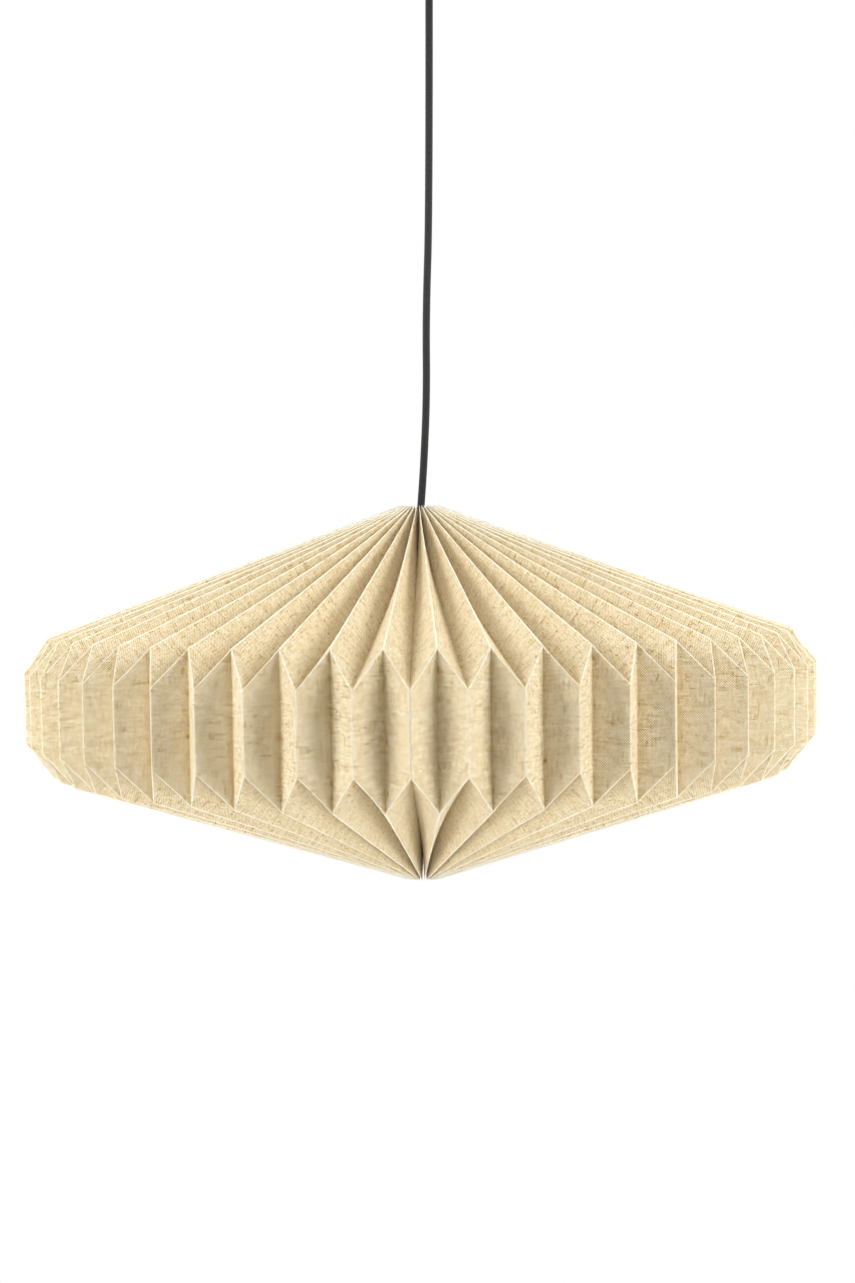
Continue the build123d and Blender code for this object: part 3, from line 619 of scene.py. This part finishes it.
# %% [markdown]
# ## The lacing thread
# A waxed thread runs through a needle hole in every pleat, just inside each neck, and holds the
# pleats together. A plain ring would do from afar, but a thread is two plies twisted round each
# other. Each ply is a closed curve with a round section that winds round the ring, and the two
# are joined as one mesh.

# %% Two plies twisted round a ring
ply_radius = 0.0003
thread_turns = 44
points_a_turn = 8


def ply(radius, height, start):
    """One ply as a mesh: a closed curve that winds round a level ring."""
    line = bpy.data.curves.new("ply", "CURVE")
    line.dimensions = "3D"
    line.resolution_u = 2
    line.bevel_depth, line.bevel_resolution = ply_radius, 1
    spline = line.splines.new("NURBS")
    spline.points.add(thread_turns * points_a_turn - 1)
    for index, point in enumerate(spline.points):
        turn = 2 * math.pi * index / len(spline.points)
        twist = thread_turns * turn + start
        out = radius + ply_radius * math.cos(twist)
        level = shade_axis.z + height + ply_radius * math.sin(twist)
        point.co = (shade_axis.x + out * math.sin(turn), -out * math.cos(turn), level, 1)
    spline.order_u = 3
    spline.use_cyclic_u = True
    holder = bpy.data.objects.new("ply", line)
    bpy.context.scene.collection.objects.link(holder)
    bpy.context.view_layer.update()
    made = bpy.data.objects.new("ply", bpy.data.meshes.new_from_object(holder))
    bpy.context.scene.collection.objects.link(made)
    bpy.data.objects.remove(holder)
    return made


hole_margin = 0.012  # from the cut edge to the needle holes
laced_run = ridge_run - hole_margin
laced = [(a + b) / 2 for a, b in zip(ridge(laced_run), valley(laced_run))]
lacings = []
for node, side in (("top_lacing", 1), ("bottom_lacing", -1)):
    plies = [ply(laced[0], side * laced[1], start) for start in (0, math.pi)]
    bpy.ops.object.select_all(action="DESELECT")
    for piece in plies:
        piece.select_set(True)
    bpy.context.view_layer.objects.active = plies[0]
    bpy.ops.object.join()
    plies[0].name = f"{node}_plies"
    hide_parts(node)
    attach(plies[0], "pendant")
    lacings.append(plies[0])
    print(plies[0].name, len(plies[0].data.polygons), "faces")

# %% [markdown]
# ## The bulb's screw cap and its socket
# The cap of a bulb is thin sheet metal with a rolled thread, about seven turns to the inch, and
# the brass shell that it screws into has the same thread rolled into it. In the CAD model both
# are plain, because a rolled thread changes no fit. Here each starts as a circle that is
# extruded and cut into fine rings. A helix is a groove that climbs as it goes round, so every
# point is then moved inwards by an amount that its height and its turn give together.

# %% Circles, extruded and cut into rings
thread_pitch = 0.00363
millimetre = 0.001


def measures(node):
    """Where an upright round node starts and ends, from the shade's middle, and its radius."""
    lower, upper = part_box(node)
    return lower[2] - shade_axis.z, upper[2] - shade_axis.z, (upper[0] - lower[0]) / 2


def start_circle(name, radius, level, corners=64):
    """A circle on the lamp's axis, left in edit mode with all of it selected."""
    bpy.ops.object.select_all(action="DESELECT")
    bpy.ops.mesh.primitive_circle_add(
        vertices=corners, radius=radius, location=(shade_axis.x, 0, shade_axis.z + level)
    )
    made = bpy.context.active_object
    made.name = name
    bpy.ops.object.transform_apply(location=True, rotation=False, scale=False)
    bpy.ops.object.mode_set(mode="EDIT")
    bpy.ops.mesh.select_all(action="SELECT")
    return made


def extrude_ring(rise=0.0, widen=1.0):
    """Extrude the selected ring up or down, and make it wider or narrower."""
    bpy.ops.mesh.extrude_region_move(TRANSFORM_OT_translate={"value": (0, 0, rise)})
    bpy.ops.transform.resize(value=(widen, widen, 1))


def cut_rings(made, low, high, cuts):
    """Cut the upright edges between two heights into short lengths."""
    bpy.ops.mesh.select_all(action="DESELECT")
    build = bmesh.from_edit_mesh(made.data)
    for edge in build.edges:
        ends = sorted(vertex.co.z - shade_axis.z for vertex in edge.verts)
        edge.select = abs(ends[0] - low) < 1e-6 and abs(ends[1] - high) < 1e-6
    bmesh.update_edit_mesh(made.data)
    bpy.ops.mesh.subdivide(number_cuts=cuts)


def roll_thread(made, low, high, depth):
    """Move points inwards along a helix that fades at both ends."""
    for vertex in made.data.vertices:
        level = vertex.co.z - shade_axis.z
        if low < level < high:
            aside, front = vertex.co.x - shade_axis.x, vertex.co.y
            turn = math.atan2(front, aside) / (2 * math.pi)
            fade = min(1, (level - low) / thread_pitch * 2, (high - level) / thread_pitch * 2)
            wave = 0.5 - 0.5 * math.cos(2 * math.pi * (level / thread_pitch - turn))
            scale = 1 - fade * wave * depth / math.hypot(aside, front)
            vertex.co.x = shade_axis.x + aside * scale
            vertex.co.y = front * scale


# %% The bulb's cap
cap_low, cap_high, cap_radius = measures("bulb_cap")
shoulder = 1.8 * millimetre  # the cap's upper end narrows over this height
cap_top = cap_high - shoulder
threaded_cap = start_circle("threaded_cap", cap_radius, cap_low)
extrude_ring(cap_top - cap_low)
extrude_ring(shoulder, 1 - shoulder / cap_radius)
bpy.ops.mesh.edge_face_add()
cut_rings(threaded_cap, cap_low, cap_top, 44)
bpy.ops.object.mode_set(mode="OBJECT")
cap_depth = 0.85 * millimetre
roll_thread(threaded_cap, cap_low + 1.6 * millimetre, cap_top - 0.4 * millimetre, cap_depth)
bpy.ops.object.shade_smooth_by_angle(angle=math.radians(40))
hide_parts("bulb_cap")
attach(threaded_cap, "bulb")
print("cap", len(threaded_cap.data.polygons), "faces, radius", round(cap_radius, 4))

# %% The socket's shell
shell_low, shell_high, shell_radius = measures("screw_shell")
shell_wall = 0.3 * millimetre
shell_top = shell_high - shell_wall / 2
shell_hole = 9 * millimetre  # where the centre contact comes through
shell_depth = 0.4 * millimetre  # shallow, so that the bulb's cap runs out freely
threaded_shell = start_circle("threaded_shell", shell_hole, shell_top)
extrude_ring(0, (shell_radius - shell_wall) / shell_hole)
extrude_ring(shell_low - shell_top)
cut_rings(threaded_shell, shell_low, shell_top, 48)
bpy.ops.mesh.select_all(action="SELECT")
bpy.ops.mesh.normals_make_consistent(inside=False)
bpy.ops.object.mode_set(mode="OBJECT")
thread_low, thread_high = shell_low + 1.5 * millimetre, shell_high - 2.5 * millimetre
roll_thread(threaded_shell, thread_low, thread_high, shell_depth)
wall = threaded_shell.modifiers.new("wall", "SOLIDIFY")
wall.thickness, wall.offset = shell_wall, 0.0
bpy.ops.object.modifier_apply(modifier="wall")
bpy.ops.object.shade_smooth_by_angle(angle=math.radians(40))
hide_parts("screw_shell")
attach(threaded_shell, "pendant")
print("shell", len(threaded_shell.data.polygons), "faces, radius", round(shell_radius, 4))

# %% [markdown]
# ## Finishes for the pieces that stay as they are
# Most small parts keep their CAD shape. Each gets a finish with a little of what its making
# leaves on it: a draw direction on steel, a fine grain on moulded plastic, a glaze on ceramic.

# %% Moulded, drawn and fired finishes


def moulded(name, dark, light, roughness, grain=1800.0, depth=0.00004):
    """Moulded plastic: a fine grain, and a slow change from the flow in the mould."""
    made = Finish(name)
    flow = made.noise(made.place(), 35.0, 2.0)
    fine = made.noise(made.place(), grain, 3.0)
    made.set(
        Base_Color=made.mix(made.ease(flow, 0.3, 0.7), dark, light),
        Roughness=roughness + fine * 0.12,
    )
    made.bump(fine, depth)
    return made.material


def drawn_metal(name, dark, light, roughness, stretch=(400.0, 400.0, 40.0)):
    """Metal with fine lines from drawing or turning, and a few duller patches."""
    made = Finish(name, Metallic=1.0)
    lines = made.noise(made.stretch(made.place(), stretch), 6.0, 3.0)
    patches = made.noise(made.place(), 160.0, 2.0)
    made.set(
        Base_Color=made.mix(made.ease(patches, 0.35, 0.7), light, dark),
        Roughness=roughness + lines * 0.16 + made.ease(patches, 0.5, 0.8) * 0.1,
    )
    made.bump(lines, 0.00003)
    return made.material


moulded_finishes = (  # name, darkest and palest colour, roughness, and sometimes the grain
    ("canopy_black", (0.018, 0.018, 0.019), (0.026, 0.026, 0.027), 0.38),
    ("holder_black", (0.016, 0.016, 0.017), (0.024, 0.024, 0.025), 0.26),
    ("hanger_white", (0.74, 0.74, 0.71), (0.82, 0.82, 0.79), 0.42),
    ("wire_sleeve", (0.02, 0.09, 0.30), (0.03, 0.12, 0.36), 0.32),
    ("terminal_clear", (0.72, 0.73, 0.70), (0.80, 0.81, 0.78), 0.35),
    ("insert_ceramic", (0.76, 0.75, 0.70), (0.84, 0.83, 0.79), 0.16, 900.0),
    ("bulb_black", (0.012, 0.012, 0.014), (0.02, 0.02, 0.022), 0.12),
    ("bulb_collar_white", (0.80, 0.80, 0.78), (0.85, 0.85, 0.83), 0.34),
    ("carrier_white", (0.74, 0.73, 0.69), (0.80, 0.79, 0.75), 0.4, 2600.0, 0.00008),
)
metal_finishes = (
    ("zinc_steel", (0.46, 0.47, 0.48), (0.62, 0.63, 0.65), 0.26),
    ("contact_brass", (0.56, 0.38, 0.13), (0.74, 0.54, 0.22), 0.22),
    ("bulb_cap_metal", (0.55, 0.55, 0.54), (0.70, 0.70, 0.69), 0.24),
)
finishes = {row[0]: moulded(*row) for row in moulded_finishes}
finishes.update({row[0]: drawn_metal(*row) for row in metal_finishes})
print("finishes", len(finishes))

# %% Opal glass and lacing thread
opal = Finish("bulb_opal", Coat_Weight=0.6, Coat_Roughness=0.04)
milk = opal.noise(opal.place(), 30.0, 2.0)
opal.set(
    Base_Color=opal.mix(milk, (0.83, 0.83, 0.80), (0.88, 0.88, 0.86)),
    Roughness=0.18 + milk * 0.06,
)
finishes["bulb_opal"] = opal.material

lacing = Finish("lacing_thread", Roughness=0.8)
twist = lacing.noise(lacing.stretch(lacing.place(), (900.0, 900.0, 300.0)), 1.0, 2.0)
lacing.set(Base_Color=lacing.mix(twist, linear(176, 146, 98), linear(222, 196, 150)))
lacing.bump(twist, 0.0002)
finishes["lacing_thread"] = lacing.material
for piece in lacings:
    piece.data.materials.append(finishes["lacing_thread"])
threaded_cap.data.materials.append(finishes["bulb_cap_metal"])
threaded_shell.data.materials.append(finishes["contact_brass"])
print("finishes with glass and thread", len(finishes))

# %% Each piece takes its finish from its slot in the record
slot_of = {row["node"]: row["material_slot"] for row in frame["record"]["subparts"]}
for name, node in nodes.items():
    finish = finishes.get(slot_of[name])
    if finish:
        node.data.materials.clear()
        node.data.materials.append(finish)
print("dressed", sum(1 for name in nodes if slot_of[name] in finishes))

# %% [markdown]
# ## The studio
# The photograph has a white ground and large soft lights at both sides, so that the panels that
# face sideways are bright and those that face the viewer are darker. Each side has four lamps
# here, a high and a low one in front and two weaker ones behind. A wide lamp overhead and a weak
# one at the front fill the shadows, and a white floor far below sends some light back up under
# the lower cone.

# %% Floor and backdrop
bpy.ops.mesh.primitive_plane_add(size=14.0, location=(0, 0, -1.75))
floor = bpy.context.active_object
floor.name = "floor"
paper = bpy.data.materials.new("white_floor")
paper.use_nodes = True
tree = paper.node_tree
white = tree.nodes["Principled BSDF"]
white.inputs["Base Color"].default_value = (0.82, 0.82, 0.82, 1)
white.inputs["Roughness"].default_value = 0.9
glow = tree.nodes.new("ShaderNodeEmission")
glow.inputs["Color"].default_value = (1, 1, 1, 1)
rays = tree.nodes.new("ShaderNodeLightPath")
seen = Dye(tree, rays.outputs["Is Camera Ray"])
for kind in ("Is Glossy Ray", "Is Transmission Ray"):
    seen = seen + Dye(tree, rays.outputs[kind])
spread = tree.nodes.new("ShaderNodeTexCoord")
length = tree.nodes.new("ShaderNodeVectorMath")
length.operation = "LENGTH"
tree.links.new(spread.outputs["Object"], length.inputs[0])
away = Dye(tree, length.outputs["Value"])  # from the point under the lamp

# The floor is drawn white by its own light, and a little less so under the lamp, where part of
# the lamp's shadow stays: 0.8 of it there, and 0.2 more with each metre past the first 0.3.
shadow_reach, under_lamp, grow = 0.3, 0.8, 0.2
share = (away - shadow_reach) * grow + under_lamp
share = share.maths("MAXIMUM", share, under_lamp)
share = share.maths("MINIMUM", share, 1.0)
blend = tree.nodes.new("ShaderNodeMixShader")
plug(tree, blend.inputs[0], seen * share)
tree.links.new(white.outputs[0], blend.inputs[1])
tree.links.new(glow.outputs[0], blend.inputs[2])
tree.links.new(blend.outputs[0], tree.nodes["Material Output"].inputs["Surface"])
floor.data.materials.append(paper)
print("floor", round(floor.dimensions.x, 2), "m square")

# %% World and lamps
world = bpy.data.worlds.new("studio")
world.use_nodes = True
bpy.context.scene.world = world
tree = world.node_tree
rays = tree.nodes.new("ShaderNodeLightPath")
seen = Dye(tree, rays.outputs["Is Camera Ray"])
for kind in ("Is Glossy Ray", "Is Transmission Ray"):
    seen = seen.maths("MAXIMUM", seen, Dye(tree, rays.outputs[kind]))
fill = 0.08  # how much the white around the lamp lights it
ground = tree.nodes["Background"]
ground.inputs["Color"].default_value = (1, 1, 1, 1)
plug(tree, ground.inputs["Strength"], seen * (1 - fill) + fill)


def soft_light(name, where, size, power):
    """A square soft light that looks at the shade."""
    data = bpy.data.lights.new(name, "AREA")
    data.shape, data.size, data.energy = "SQUARE", size, power
    made = bpy.data.objects.new(name, data)
    bpy.context.scene.collection.objects.link(made)
    made.location = where
    heading = shade_axis - Vector(where)
    made.rotation_euler = heading.to_track_quat("-Z", "Y").to_euler()
    return made


aside, onward, raised = 1.65, 0.87, 0.99  # from the middle of the shade
for side in (-1, 1):
    for level in (-1, 1):
        height = shade_axis.z + raised * level
        soft_light(f"front_{side}_{level}", (aside * side, -onward, height), 0.8, 22.0 + level)
        soft_light(f"back_{side}_{level}", (aside * side, onward, height), 0.8, 12.0)
soft_light("overhead", (0.0, 0.0, 1.2), 1.4, 19.0)
soft_light("front_fill", (0.0, -2.2, shade_axis.z), 1.6, 9.0)
bpy.context.scene.view_settings.view_transform = "Standard"
